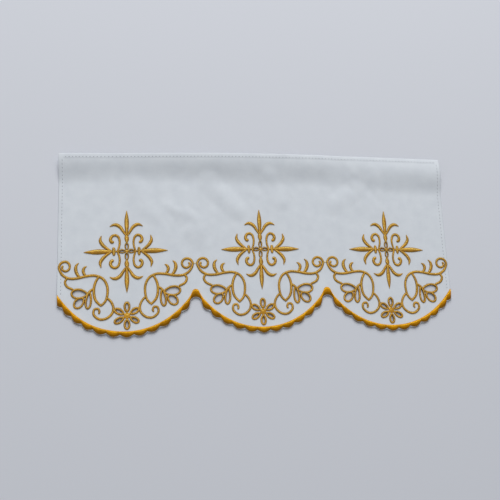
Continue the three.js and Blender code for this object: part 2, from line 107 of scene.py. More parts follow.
# The cross. A stroke is repeated across x, y or both, and a doubled one goes on from its
# last point to the mirror image of its first.
CROSS_STROKES = [
    {"name": "upright lance", "across": "y", "widths": (2.6, 6.9, 0.6), "points": [(0, 24), (0, 61)]},
    {"name": "bud", "across": "y", "widths": (1.8, 6.9, 4), "widest_at": 0.6,
     "points": [(0, 12), (0, 24)]},
    {"name": "upright curl", "across": "both", "widths": (2.8, 5.4, 0.8), "widest_at": 0.64,
     "points": [(0.8, 23.2), (5, 29.8), (9, 36), (14, 39.5), (18, 39.8), (23.5, 37.3)]},
    {"name": "level lance", "across": "x", "widths": (2.6, 8.1, 0.6), "points": [(18.8, 0), (60, 0)]},
    {"name": "level curl", "across": "both", "widths": (2.8, 5.3, 0.9), "widest_at": 0.6,
     "points": [(21.2, 0.5), (28, 5.3), (33.3, 10.6), (36.2, 16.6), (34.8, 24)]},
    {"name": "brace", "across": "x", "widths": (5.3, 3.1, 5.3), "doubled": True,
     "points": [(17.5, 13.5), (20.8, 14.2), (22.3, 18), (20.3, 22.5), (15.8, 24.2),
                (11.8, 21.5), (9.9, 15), (10.4, 7.5), (12.4, 0)]},
    {"name": "spindle", "across": "x", "widths": (3.4, 5.5, 3.4),
     "points": [(17.8, -6.3), (17.8, 6.3)]},
    {"name": "bar", "across": "x", "widths": (2.2, 2.6, 2.2), "points": [(12.8, 0), (17.6, 0)]},
]
CROSS_LOOPS = [
    {"name": "upright eye", "across": "y", "base": (0, 2.4), "tip": (0, 12.2), "half": 2.2, "pinch": 0},
    {"name": "level eye", "across": "x", "base": (2.4, 0), "tip": (10.6, 0), "half": 2.2, "pinch": 0},
]
KNOT_RADIUS = 2.5
KNOT_HEIGHT = 1.2
SIGNS = {"x": [(1, 1), (-1, 1)], "y": [(1, 1), (1, -1)],
         "both": [(1, 1), (-1, 1), (1, -1), (-1, -1)]}

# The flower at the foot of each scallop.
FLOWER_Y = -94.0
PETALS = 6
PETAL_BASE = 5.8
PETAL_TIP = 18.8
PETAL_HALF = 3.7
PETAL_PINCH = 0.35
HUB_RADIUS = 5.3
HUB_HEIGHT = 1.1
HUB_STAR = 0.14
LOOP_WIDTH = 3.4
EYE_WIDTH = 2.2
OPENING_INSET = 0.4
LINK = {"y": -20.0, "length": 4.0, "width": 3.4}

# The soft fold along the back edge: how far its crest lies from the edge, how high it
# rises, and how far in front of it the cloth lies flat.
BACK_FOLD = [
    {"x": -300, "crest": 4, "rise": 9.0, "reach": 42},
    {"x": -215, "crest": 4, "rise": 6.6, "reach": 40},
    {"x": -140, "crest": 3, "rise": 8.0, "reach": 42},
    {"x": -60, "crest": 4, "rise": 9.6, "reach": 44},
    {"x": 20, "crest": 5, "rise": 9.0, "reach": 46},
    {"x": 90, "crest": 9, "rise": 8.0, "reach": 40},
    {"x": 140, "crest": 12, "rise": 5.4, "reach": 42},
    {"x": 200, "crest": 17, "rise": 6.4, "reach": 43},
    {"x": 300, "crest": 21, "rise": 7.4, "reach": 39},
]
BACK_FOLD_LEAD = 43.0

# Soft wrinkles, each along a line. The first five are also in the solids, where they are a
# little higher and narrower. The others are fine.
WRINKLES = [
    {"from": (-76, 94), "to": (-34, 50), "half": 20, "rise": 1.7},
    {"from": (18, 100), "to": (34, 64), "half": 20, "rise": 1.6},
    {"from": (-190, 92), "to": (-160, 44), "half": 20, "rise": 1.0},
    {"from": (-128, 52), "to": (-90, 20), "half": 20, "rise": 1.1},
    {"from": (118, 58), "to": (158, 84), "half": 20, "rise": 1.1},
    {"from": (-142, 60), "to": (-124, 46), "half": 10, "rise": 0.45},
    {"from": (-116, 49), "to": (-92, 36), "half": 11, "rise": 0.5},
    {"from": (-107, 19), "to": (-76, -2), "half": 12, "rise": 0.5},
    {"from": (152, 104), "to": (165, 79), "half": 14, "rise": 0.7},
    {"from": (186, 102), "to": (196, 78), "half": 13, "rise": 0.6},
]

# The cloth is slightly uneven all over, in slanting swells, and more so in some patches.
# SWELL_RAISE is how far they are lifted, in units of their typical height.
SWELLS = 32
SWELL_LENGTHS = (14.0, 64.0)
SWELL_SLANT = math.radians(48)
SWELL_SPREAD = math.radians(42)
SWELL_SLOPE = 0.0062
SWELL_AMOUNT = 0.45
SWELL_RAISE = 1.5
ROUGH_PATCHES = [
    {"x": -105, "y": 38, "radius": 75, "more": 1.9},
    {"x": 20, "y": 84, "radius": 70, "more": 1.0},
    {"x": 160, "y": 86, "radius": 75, "more": 1.3},
]

# How far each scallop lifts at its front, and where the lift starts and is full.
SCALLOP_LIFTS = (2.0, 1.6, 1.8)
LIFT_START_RADIUS = 60.0
LIFT_END_RADIUS = NOTCH_RADIUS + BUMP_HEIGHT
LIFT_START_Y = -8.0
LIFT_FULL_Y = -60.0

# The stitching. Every other section of a band lies on a thread and the ones between lie in
# the grooves, which get a darker tone as painted shade. A higher tone is a lighter thread.
# A profile is the share of the way across and the share of the relief, where None is a point
# that is sunk into the cloth.
THREAD_PITCH = 0.5
THREAD_GROOVE = 0.15
THREAD_SLANT = math.radians(10)
THREAD_RAGGED = 0.07
TONE_RAISE = 0.1

# A stroke. It is lower where it is narrower than FULL_WIDTH, and its tone is darker towards its
# edges, as painted shade on its sloping sides.
STROKE_PROFILE = [(-1, None), (-0.97, 0.22), (-0.62, 0.78), (0, 1), (0.62, 0.78), (0.97, 0.22), (1, None)]
STROKE_TONES = (0.18, 0.82)
STROKE_GROOVE_PAINTED_SHADE_TONE = 0.35
STROKE_EDGE_PAINTED_SHADE = 0.65
STROKE_EDGE_PAINTED_SHADE_START = 0.4
STROKE_EDGE_PAINTED_SHADE_SPAN = 0.57
STITCH_RELIEF = 1.75
STITCH_DROP = 0.45
FULL_WIDTH = 3.6
NARROW_RELIEF = 0.5
LEAST_HALF_WIDTH = 0.08
LEAST_END_RADIUS = 0.2
LEAST_END_ROUNDING = 0.02
HALF_WAY = 0.5
# The eyes' threads get a darker tone, as painted shade from the deep openings they ring.
EYE_PAINTED_SHADE = 0.35
LINK_RELIEF = 0.8
ROSETTE_PROFILE = [(1.0, -0.4), (0.97, 0.3), (0.86, 0.75), (0.68, 0.9), (0.5, 0.72), (0.36, 0.85),
                   (0.2, 1.0), (0.04, 1.0)]
ROSETTE_TONES = (0.3, 0.8)

# The edging, from its inner line out to its bumps. It is lower where it is narrow. Its tone
# has a painted highlight next to its inner line and painted shade towards the bumps.
EDGING_PROFILE = [(0, None), (0.025, 0.25), (0.09, 0.62), (0.2, 0.93), (0.32, 1.0), (0.5, 0.88),
                  (0.7, 0.6), (0.86, 0.22), (1.0, None)]
EDGING_DROP = (0.5, 0.95)
EDGING_RELIEF = 2.3
EDGING_NARROW_RELIEF = 0.35
EDGING_NARROW_WIDTH = 5.0
EDGING_WIDENING = 3.8
EDGING_TONES = (0.3, 0.75)
EDGING_GROOVE_PAINTED_SHADE_TONE = 0.3
EDGING_PAINTED_SHADE = 0.85
EDGING_PAINTED_SHADE_START = 0.4
EDGING_PAINTED_SHADE_SPAN = 0.5
EDGING_PAINTED_HIGHLIGHT = 0.12
EDGING_PAINTED_HIGHLIGHT_END = 0.25
EDGING_ARC = math.radians(121)
EDGING_SIDE_INSET = 0.3

# The hem along the back and the sides. HEM_ROWS are closer rows of points in the cloth,
# where the hem's inner edge and its stitches need them. The side hems' rows and stitches
# start above the scallops, and those distances are from the front.
HEM_WIDTH = 6.4
HEM_EXTRA = 0.35
HEM_EASE = 0.7
HEM_ROWS = (1.2, 2.6, 3.9, 4.7, 5.3, 5.9, 6.5, 7.1, 8.4)
HEM_ROW_SPACING = 1.3
HEM_ROWS_WIDTH = 9.0
HEM_ROWS_START = 60.0
HEM_LINE = 5.3
HEM_PITCH = 5.3
HEM_STITCHES_START = 66.0
HEM_STITCH = {"length": 1.9, "widths": (0.5, 0.75, 0.5), "relief": 0.25, "drop": 0.4}
DIMPLE = {"depth": 0.3, "length": 1.3, "width": 0.8, "reach": 3.0}

# Loose threads of the cut edge. There are more and longer ones in the notches.
FRAY_PLACES_PER_BUMP = 14
FRAY_NOTCH = 0.4
FRAYS_IN_NOTCH = 3
FRAYS_LEFT_OUT = 0.6
FRAY_INSET = 0.2
FRAY_SIDE_INSET = 1.0
NOTCH_FRAY_LENGTHS = (0.8, 1.9)
BUMP_FRAY_LENGTHS = (0.4, 1.1)
FRAY_TURN = 0.7
FRAY_BEND = 0.9
FRAY_DROOP = 0.35
FRAY_RADIUS = 0.09
FRAY_TAPER = 0.6
FRAY_SPANS = 3
FRAY_TONE = 0.5
FRAY_LEAST_HEIGHT = 0.1

# How finely the shapes are divided.
GRID = 3.0
EDGE_CLEARANCE = 0.6
EDGE_SPACING = 2.5
EDGE_STEPS_PER_BUMP = 16
CURL_STEP = 45
CURL_EASE = 0.7
SPLINE_STEPS = 24
LOOP_STEPS = {"flower": 90, "scroll": 120, "cross": 60}
OPENING_STEPS = {"flower": 36, "scroll": 44, "cross": 20}
TRIANGLES_INSIDE = 1
MERGE_DISTANCE = 1e-5
SEED = 7
LINK_SEED = 60

# The looks. The gold threads have a high index of refraction and shine in a gloss colour.
CLOTH_DARK = (0.695, 0.735, 0.785, 1)
CLOTH_LIGHT = (0.745, 0.785, 0.83, 1)
WEAVE_PITCH = 0.45
WEAVE_HEIGHT = 0.08
MOTTLE_SCALE = 60
PATCH_SCALE = 90
FIBRE_SCALE = 4000
FIBRE_HEIGHT = 0.05
TONE_SCALE = 0.62
CLEAR_GLOSS = (1, 1, 1, 1)
THREADS = {
    "gold_thread": {"dark": (0.22, 0.066, 0.001, 1), "light": (0.80, 0.34, 0.01, 1),
                    "roughness": 0.33, "ior": 2.6, "gloss": (1.0, 0.88, 0.26, 1)},
    "edging_thread": {"dark": (0.22, 0.046, 0, 1), "light": (0.96, 0.385, 0, 1),
                      "roughness": 0.33, "ior": 2.5, "gloss": (1.0, 0.78, 0.06, 1)},
    "pale_thread": {"dark": (0.60, 0.55, 0.36, 1), "light": (0.78, 0.74, 0.56, 1),
                    "roughness": 0.5, "ior": 1.5, "gloss": CLEAR_GLOSS},
    # The hem stitches' dark grey is painted shade of the needle holes they sit in.
    "sewing_thread_painted_shade": {"dark": (0.26, 0.28, 0.30, 1), "light": (0.36, 0.38, 0.41, 1),
                      "roughness": 0.6, "ior": 1.5, "gloss": CLEAR_GLOSS},
    "edge_fibre": {"dark": (0.74, 0.75, 0.76, 1), "light": (0.86, 0.87, 0.88, 1),
                   "roughness": 0.8, "ior": 1.5, "gloss": CLEAR_GLOSS},
}

# The room, in metres, but the floor's drop below the cloth is in millimetres.
FLOOR = {"size": 8, "drop": 0.2, "colour": (0.70, 0.72, 0.775, 1)}
LAMP = {"place": (0.0, 3.0, 2.64), "size": 3.4, "energy": 128}
SKY = {"colour": (0.95, 0.97, 1.0, 1), "strength": 0.33}

# The camera: its place, how far it is turned about each axis in degrees, and its lens.
# NEAREST, where its view starts, is in metres.
CAMERA_PLACE = (-186.3, -231.9, 1024.6)
CAMERA_TURNS = {"X": -12.17, "Y": 9.23, "Z": 0.37}
SENSOR_WIDTH = 36.0
LENS = 50.4
NEAREST = 0.01


def smooth(value):
    t = np.clip(value, 0.0, 1.0)
    return t * t * (3 - 2 * t)


def station(column, x):
    """A column of BACK_FOLD at x, eased between the two nearest rows."""
    xs = np.array([row["x"] for row in BACK_FOLD], float)
    values = np.array([row[column] for row in BACK_FOLD], float)
    low = np.clip(np.searchsorted(xs, x) - 1, 0, len(xs) - 2)
    t = smooth((x - xs[low]) / (xs[low + 1] - xs[low]))
    return values[low] + (values[low + 1] - values[low]) * t


def back_fold_height(x, y):
    crest_y = DEPTH / 2 - station("crest", x)
    reach = np.where(y > crest_y, BACK_FOLD_LEAD, station("reach", x))
    t = np.minimum(np.abs(y - crest_y) / reach, 1)
    return station("rise", x) * np.cos(t * math.pi / 2) ** 2


def wrinkle_height(wrinkle, x, y):
    x0, y0 = wrinkle["from"]
    dx, dy = wrinkle["to"][0] - x0, wrinkle["to"][1] - y0
    t = np.clip(((x - x0) * dx + (y - y0) * dy) / (dx * dx + dy * dy), 0, 1)
    distance = np.hypot(x - x0 - dx * t, y - y0 - dy * t) / wrinkle["half"]
    return wrinkle["rise"] * np.maximum(1 - distance * distance, 0) ** 2


def scallop_lift(x, y):
    place = np.clip(x / PITCH + (SCALLOPS - 1) / 2, 0, SCALLOPS - 1)
    index = np.minimum(place.astype(int), SCALLOPS - 2)
    lifts = np.array(SCALLOP_LIFTS)
    blend = smooth(place - index)
    lift = lifts[index] * (1 - blend) + lifts[index + 1] * blend
    middle = (np.round(place) - (SCALLOPS - 1) / 2) * PITCH
    radius = np.hypot(x - middle, y - CROSS_LINE - ARC_CENTRE_Y)
    t = np.maximum((radius - LIFT_START_RADIUS) / (LIFT_END_RADIUS - LIFT_START_RADIUS), 0)
    front = smooth((LIFT_START_Y - (y - CROSS_LINE)) / (LIFT_START_Y - LIFT_FULL_Y))
    return lift * t * t * front


def unevenness(x, y):
    """Low slanting swells, which never take the cloth below the surface it lies on."""
    rng = np.random.default_rng(SEED)
    amount = SWELL_AMOUNT
    for patch in ROUGH_PATCHES:
        distance = np.hypot(x - patch["x"], y - patch["y"]) / patch["radius"]
        amount = amount + patch["more"] * np.maximum(1 - distance * distance, 0) ** 2
    height = 0.0
    squares = 0.0
    for length in np.geomspace(*SWELL_LENGTHS, SWELLS):
        angle = SWELL_SLANT + rng.normal(0, SWELL_SPREAD)
        phase = (x * math.cos(angle) + y * math.sin(angle)) / length + rng.uniform(0, 1)
        swell = SWELL_SLOPE * length / (2 * math.pi)
        height = height + swell * np.sin(2 * math.pi * phase)
        squares += swell ** 2
    return amount * np.maximum(height + SWELL_RAISE * math.sqrt(squares / 2), 0)


def cloth_height(x, y):
    """How high the underside of the cloth lies above the surface, in millimetres."""
    x, y = np.asarray(x, float), np.asarray(y, float)
    height = back_fold_height(x, y) + scallop_lift(x, y) + unevenness(x, y)
    for wrinkle in WRINKLES:
        height = height + wrinkle_height(wrinkle, x, y)
    return height


def hem_amount(x, y):
    """1 on the hem along the back and sides, falling to 0 just inside it."""
    inside = np.minimum(WIDTH / 2 - np.abs(x), DEPTH / 2 - y)
    return 1 - smooth((inside - HEM_WIDTH) / HEM_EASE)


def cloth_top(x, y):
    return cloth_height(x, y) + THICKNESS + HEM_EXTRA * hem_amount(x, y)


def lying(points):
    """The points, in millimetres, shifted from the cut cloth to where it lies."""
    points = np.array(points, float)
    x = points[:, 0].copy()
    near = np.clip(1 - ((x - LEFT_PULL["x"]) / LEFT_PULL["reach"]) ** 2, 0, 1)
    points[:, 0] += LEFT_PULL["shift"] * near * near
    points[:, 1] = DRAWN_OUT * points[:, 1] + BOW_MIDDLE - BOW_SAG * (2 * x / WIDTH) ** 2
    return points


def curl_points(curl):
    """The spiral's points, from its inner end outwards."""
    start, end = curl["angles"]
    steps = math.ceil(abs(end - start) / CURL_STEP)
    points = []
    for i in range(steps + 1):
        share = i / steps
        angle = math.radians(start + (end - start) * share)
        radius = curl["radii"][0] + (curl["radii"][1] - curl["radii"][0]) * share ** CURL_EASE
        points.append((curl["x"] + radius * math.cos(angle), curl["y"] + radius * math.sin(angle)))
    return points


def spline(points):
    """A centripetal Catmull-Rom line through the points."""
    p = np.array(points, float)
    p = np.vstack([2 * p[0] - p[1], p, 2 * p[-1] - p[-2]])
    line = []
    for i in range(1, len(p) - 2):
        a, b, c, d = p[i - 1:i + 3]
        t0 = 0.0
        t1 = t0 + math.sqrt(np.linalg.norm(b - a))
        t2 = t1 + math.sqrt(np.linalg.norm(c - b))
        t3 = t2 + math.sqrt(np.linalg.norm(d - c))
        t = np.linspace(t1, t2, SPLINE_STEPS, endpoint=False)[:, None]
        ab = (t1 - t) / (t1 - t0) * a + (t - t0) / (t1 - t0) * b
        bc = (t2 - t) / (t2 - t1) * b + (t - t1) / (t2 - t1) * c
        cd = (t3 - t) / (t3 - t2) * c + (t - t2) / (t3 - t2) * d
        abc = (t2 - t) / (t2 - t0) * ab + (t - t0) / (t2 - t0) * bc
        bcd = (t3 - t) / (t3 - t1) * bc + (t - t1) / (t3 - t1) * cd
        line.append((t2 - t) / (t2 - t1) * abc + (t - t1) / (t2 - t1) * bcd)
    line.append(p[-2][None, :])
    return np.vstack(line)


def loop_line(loop, count, inset=0.0):
    """A loop from base to tip: an oval that is pinched at the base."""
    base, tip = np.array(loop["base"], float), np.array(loop["tip"], float)
    length = np.linalg.norm(tip - base)
    axis = (tip - base) / length
    side = np.array([-axis[1], axis[0]])
    angle = np.linspace(0, 2 * math.pi, count, endpoint=False)
    along = inset + (length - 2 * inset) * (1 - np.cos(angle)) / 2
    pinch = np.abs(np.sin(angle / 2)) ** loop["pinch"]
    across = (loop["half"] - inset) * np.sin(angle) * pinch
    return base + along[:, None] * axis + across[:, None] * side


def flower_loops():
    loops = []
    for i in range(PETALS):
        angle = math.pi / 2 + 2 * math.pi * i / PETALS
        ray = np.array([math.cos(angle), math.sin(angle)])
        loops.append({"base": ray * PETAL_BASE + (0, FLOWER_Y),
                      "tip": ray * PETAL_TIP + (0, FLOWER_Y),
                      "half": PETAL_HALF, "pinch": PETAL_PINCH})
    return loops


def resampled(line, spacing, closed):
    """The line's points at an even spacing, the share of its length at each, and its length."""
    if closed:
        line = np.vstack([line, line[:1]])
    runs = np.concatenate([[0], np.cumsum(np.linalg.norm(np.diff(line, axis=0), axis=1))])
    pairs = max(3, round(runs[-1] / (2 * spacing)))
    shares = np.linspace(0, 1, 2 * pairs + 1)
    if closed:
        shares = shares[:-1]
    at = shares * runs[-1]
    points = np.column_stack([np.interp(at, runs, line[:, k]) for k in (0, 1)])
    return points, shares, runs[-1]


def widths_at(widths, share, turn):
    """The width at each share of a stroke's length, eased between its three widths."""
    start, middle, end = widths
    before = start + (middle - start) * np.sin(np.minimum(share / turn, 1) * math.pi / 2)
    after = end + (middle - end) * np.cos(np.maximum((share - turn) / (1 - turn), 0) * math.pi / 2)
    return np.where(share < turn, before, after)


class Stitching:
    """Collects satin-stitched strokes into one mesh, thread by thread."""

    def __init__(self, seed):
        self.random = np.random.default_rng(seed)
        self.points = []
        self.faces = []
        self.tones = []
        self.creases = []
        self.count = 0

    def add_rings(self, rings, tones, closed, valleys=None):
        """rings is sections by points by 3, in millimetres, with a tone for each section
        or each point. Valleys are the sections between two threads, along which the
        surface is creased."""
        sections, around, _ = rings.shape
        marks = np.full(sections, -1)
        if valleys is not None:
            marks[valleys] = np.flatnonzero(valleys) + self.count
        self.creases.append(np.repeat(marks, around))
        index = np.arange(sections * around).reshape(sections, around) + self.count
        following = np.roll(index, -1, axis=0)
        if not closed:
            index, following = index[:-1], following[:-1]
        right, right_next = np.roll(index, -1, axis=1), np.roll(following, -1, axis=1)
        self.faces.append(np.stack([index, following, right_next, right], axis=-1).reshape(-1, 4))
        if not closed:
            self.cap(self.count, around, False)
            self.cap(self.count + (sections - 1) * around, around, True)
        self.points.append(rings.reshape(-1, 3))
        self.tones.append(np.repeat(tones, around) if tones.ndim == 1 else tones.reshape(-1))
        self.count += sections * around

    def cap(self, first, around, flipped):
        """Closes an end with quads across the ring, which has an even or odd count."""
        for k in range((around - 1) // 2):
            a, b, c, d = first + k, first + k + 1, first + around - 2 - k, first + around - 1 - k
            face = [a, b, c, d] if b != c else [a, b, d, d]
            self.faces.append(np.array([face[::-1] if flipped else face]))

    def variation(self, count, tones, groove_painted_shade_tone):
        """Which sections lie on a thread, how ragged their two ends are, and their tones."""
        crest = np.arange(count) % 2 == 0
        ragged = self.random.uniform(-1, 1, (count, 2)) * THREAD_RAGGED
        ragged[~crest] = -THREAD_RAGGED
        tone = self.random.uniform(*tones, count)
        # Painted shade: every groove gets the same darker tone.
        tone[~crest] = groove_painted_shade_tone
        return crest, ragged, tone

    def stroke(self, line, widths, closed=False, drop=STITCH_DROP, relief=STITCH_RELIEF,
               turn=HALF_WAY, painted_shade=0):
        """A raised band of threads that run across the line, its tone darker by a painted shade."""
        points, shares, length = resampled(line, THREAD_PITCH / 2, closed)
        width = widths_at(widths, shares, turn)
        if not closed:
            end_width = np.where(shares < HALF_WAY, widths[0], widths[2])
            radius = np.maximum(end_width / 2, LEAST_END_RADIUS)
            to_end = np.minimum(shares, 1 - shares) * length
            rounding = 1 - np.maximum(1 - to_end / radius, 0) ** 2
            width = width * np.sqrt(np.maximum(rounding, LEAST_END_ROUNDING))
        if closed:
            tangent = np.roll(points, -1, axis=0) - np.roll(points, 1, axis=0)
        else:
            tangent = np.gradient(points, axis=0)
        tangent /= np.linalg.norm(tangent, axis=1)[:, None]
        normal = np.column_stack([-tangent[:, 1], tangent[:, 0]])
        across = normal * math.cos(THREAD_SLANT) + tangent * math.sin(THREAD_SLANT)
        self.threads(points, across, width, closed, drop, relief, painted_shade)

    def threads(self, points, across, width, closed, drop, relief, painted_shade):
        """The band's sections, each across the line at one of the points."""
        count = len(points)
        crest, ragged, tone = self.variation(count, STROKE_TONES, STROKE_GROOVE_PAINTED_SHADE_TONE)
        fullness = np.minimum(width / FULL_WIDTH, 1)
        height = relief * (NARROW_RELIEF + (1 - NARROW_RELIEF) * fullness)
        height = height - np.where(crest, 0, THREAD_GROOVE)
        rings = np.zeros((count, len(STROKE_PROFILE), 3))
        tones = np.zeros(rings.shape[:2])
        for k, (u, z) in enumerate(STROKE_PROFILE):
            half = width / 2 + (ragged[:, 0] if u < 0 else ragged[:, 1]) * (u != 0)
            place = points - across * (u * np.maximum(half, LEAST_HALF_WIDTH))[:, None]
            rings[:, k, 0] = place[:, 0]
            rings[:, k, 1] = place[:, 1]
            ground = cloth_top(place[:, 0], place[:, 1])
            rings[:, k, 2] = ground + (-drop if z is None else height * z)
            # Painted shade: the tone falls towards the long edges, and by any painted shade given.
            edge_painted_shade = smooth((abs(u) - STROKE_EDGE_PAINTED_SHADE_START) / STROKE_EDGE_PAINTED_SHADE_SPAN)
            tones[:, k] = tone + TONE_RAISE - painted_shade - STROKE_EDGE_PAINTED_SHADE * edge_painted_shade
        self.add_rings(rings, tones, closed, ~crest)

    def rosette(self, x, y, radius, height, petals=0):
        """A round patch of threads that run out from its middle, as rings from its rim to
        its top. With petals, the patch is a star that reaches to them."""
        sides = 2 * round(2 * math.pi * radius / (THREAD_PITCH * 2))
        angle = np.linspace(0, 2 * math.pi, sides, endpoint=False)
        star = 1 + HUB_STAR * np.cos(petals * (angle - math.pi / 2)) if petals else 1.0
        groove = np.where(np.arange(sides) % 2 == 0, 0, THREAD_GROOVE)
        rings = []
        for share, rise in ROSETTE_PROFILE:
            px = x + radius * share * (1 + (star - 1) * share) * np.cos(angle)
            py = y + radius * share * (1 + (star - 1) * share) * np.sin(angle)
            pz = cloth_top(px, py) + height * rise - groove * share * (rise > 0)
            rings.append(np.column_stack([px, py, pz]))
        rings = np.array(rings)
        self.add_rings(rings, self.random.uniform(*ROSETTE_TONES, len(rings)), False)

    def piece(self, name, material):
        faces = np.vstack(self.faces)
        tones, creases = np.concatenate(self.tones), np.concatenate(self.creases)
        return mesh_piece(name, np.vstack(self.points), faces, material, tones, creases)


def mesh_piece(name, points, faces, material, tones=None, creases=None):
    """An object in metres from points in millimetres and faces of three or four corners.
    A triangle's row repeats its last corner. An edge is creased where both its points
    have the same mark in creases."""
    faces = np.asarray(faces)
    is_triangle = faces[:, 2] == faces[:, 3]
    corners = np.concatenate([faces[~is_triangle].reshape(-1), faces[is_triangle][:, :3].reshape(-1)])
    sizes = np.concatenate([np.full((~is_triangle).sum(), 4), np.full(is_triangle.sum(), 3)])
    mesh = bpy.data.meshes.new(name)
    mesh.vertices.add(len(points))
    mesh.vertices.foreach_set("co", (lying(points) * MM).astype(np.float32).reshape(-1))
    mesh.loops.add(len(corners))
    mesh.loops.foreach_set("vertex_index", corners.astype(np.int32))
    mesh.polygons.add(len(sizes))
    starts = np.concatenate([[0], np.cumsum(sizes)[:-1]]).astype(np.int32)
    mesh.polygons.foreach_set("loop_start", starts)
    mesh.polygons.foreach_set("use_smooth", np.ones(len(sizes), bool))
    if tones is not None:
        layer = mesh.attributes.new("tone", "FLOAT", "POINT")
        layer.data.foreach_set("value", np.asarray(tones, np.float32))
    mesh.update(calc_edges=True)
    mesh.validate()
    if creases is not None:
        ends = np.zeros(2 * len(mesh.edges), np.int32)
        mesh.edges.foreach_get("vertices", ends)
        first, second = creases[ends[0::2]], creases[ends[1::2]]
        sharp = mesh.attributes.new("sharp_edge", "BOOLEAN", "EDGE")
        sharp.data.foreach_set("value", (first == second) & (first >= 0))
    mesh.materials.append(material)
    piece = bpy.data.objects.new(name, mesh)
    bpy.context.scene.collection.objects.link(piece)
    return piece


def arc_point(t, radius, end_radius):
    angle = t * math.asin(HALF_PITCH / end_radius)
    return np.array([radius * math.sin(angle), ARC_CENTRE_Y - radius * math.cos(angle)])


def tuck(t, shared):
    """How far the edge lies inside a round arc, along its flanks and near a shared valley."""
    near = smooth((abs(t) - VALLEY_TUCK_START) / (1 - VALLEY_TUCK_START))
    return FLANK_DIP * 4 * t * t * (1 - t * t) + (VALLEY_TUCK * near if shared else 0.0)


def bump_share(t):
    """1 in the middle of a bump of the edge, and 0 in a notch."""
    return abs(math.cos(math.pi * BUMPS_PER_HALF * t))


def rounded_valley(point, centre_y, radius):
    """A point at a distance from a valley's centre point, on the line from there to point."""
    away = np.array([abs(point[0]) - HALF_PITCH, point[1] - centre_y])
    away *= radius / np.linalg.norm(away)
    return np.array([math.copysign(HALF_PITCH + away[0], point[0]), centre_y + away[1]])


def outer_point(t, shared, margin):
    """The outer edge of the edging: bumps, and an arch over each shared valley."""
    bump = BUMP_HEIGHT * bump_share(t)
    end_radius = NOTCH_RADIUS + BUMP_HEIGHT - (VALLEY_TUCK if shared else 0) + margin
    point = arc_point(t, NOTCH_RADIUS + bump - tuck(t, shared) + margin, end_radius)
    if not shared or abs(t) < 1 - 0.5 / BUMPS_PER_HALF:
        return point
    return rounded_valley(point, VALLEY_ARCH_Y, VALLEY_ARCH_RADIUS - margin)


def inner_point(t, shared):
    """The inner edge of the edging, with a round cap over each shared valley."""
    end_radius = INNER_RADIUS - (VALLEY_TUCK if shared else 0)
    point = arc_point(t, INNER_RADIUS - tuck(t, shared), end_radius)
    if not shared or abs(point[0]) < HALF_PITCH - VALLEY_CAP_RADIUS:
        return point
    return rounded_valley(point, VALLEY_CAP_Y, VALLEY_CAP_RADIUS)


def scallop_middles():
    return [(k - (SCALLOPS - 1) / 2) * PITCH for k in range(SCALLOPS)]


def front_steps(per_scallop):
    """Every step along the front edge as (middle of its scallop, t, shared valley). t runs
    from -1 to 1 across the scallop."""
    steps = []
    for scallop, middle in enumerate(scallop_middles()):
        for i in range(0 if scallop == 0 else 1, per_scallop + 1):
            t = 2 * i / per_scallop - 1
            shared = scallop > 0 if t < 0 else scallop < SCALLOPS - 1
            steps.append((middle, t, shared))
    return steps


def placed(line, middle, sign_x=1, sign_y=1):
    return np.asarray(line) * (sign_x, sign_y) + (middle, CROSS_LINE)


def opening(loop, kind, middle, sign_x=1, sign_y=1):
    line = loop_line(loop, OPENING_STEPS[kind], OPENING_INSET)
    return placed(line, middle, sign_x, sign_y)


def openings():
    """The outline of every hole in the cloth."""
    holes = []
    for middle in scallop_middles():
        holes += [opening(loop, "flower", middle) for loop in flower_loops()]
        for side in (-1, 1):
            holes += [opening(loop, "scroll", middle, side) for loop in SCROLL_LOOPS]
        for loop in CROSS_LOOPS:
            holes += [opening(loop, "cross", middle, *signs) for signs in SIGNS[loop["across"]]]
    return holes


def inside(points, polygon):
    """Which points lie inside the polygon."""
    x, y = points[:, 0], points[:, 1]
    result = np.zeros(len(points), bool)
    low, high = polygon.min(axis=0), polygon.max(axis=0)
    near = (x >= low[0]) & (x <= high[0]) & (y >= low[1]) & (y <= high[1])
    px, py = x[near], y[near]
    odd = np.zeros(len(px), bool)
    for (x0, y0), (x1, y1) in zip(polygon, np.roll(polygon, -1, axis=0)):
        crosses = (y0 > py) != (y1 > py)
        with np.errstate(divide="ignore", invalid="ignore"):
            odd ^= crosses & (px < (x1 - x0) * (py - y0) / (y1 - y0) + x0)
    result[near] = odd
    return result


def cloth_outline():
    """The cut edge: the scallops from left to right, then the sides and the back."""
    edge = []
    for middle, t, shared in front_steps(2 * BUMPS_PER_HALF * EDGE_STEPS_PER_BUMP):
        x, y = outer_point(t, shared, RAW_EDGE - (RAW_EDGE - RAW_EDGE_AT_BUMP) * bump_share(t))
        if abs(middle + x) < WIDTH / 2:
            edge.append((middle + x, CROSS_LINE + y))
    front_left = (-WIDTH / 2, edge[0][1])
    front_right = (WIDTH / 2, edge[-1][1])
    back = [(WIDTH / 2, DEPTH / 2), (-WIDTH / 2, DEPTH / 2)]
    whole = [front_left] + edge + [front_right] + back
    outline = []
    for (x0, y0), (x1, y1) in zip(whole, whole[1:] + whole[:1]):
        spans = max(1, round(math.hypot(x1 - x0, y1 - y0) / EDGE_SPACING))
        outline += [(x0 + (x1 - x0) * k / spans, y0 + (y1 - y0) * k / spans) for k in range(spans)]
    return np.array(outline)


def hem_points():
    """Closer rows of points along the hem, where its edge and stitches press in."""
    rows = []
    for depth in HEM_ROWS:
        x, top = WIDTH / 2 - depth, DEPTH / 2 - depth
        ys = np.arange(-DEPTH / 2 + HEM_ROWS_START, top, HEM_ROW_SPACING)
        rows += [np.column_stack([np.full(len(ys), side * x), ys]) for side in (-1, 1)]
        xs = np.arange(-x, x, HEM_ROW_SPACING)
        rows.append(np.column_stack([xs, np.full(len(xs), top)]))
    return np.vstack(rows)


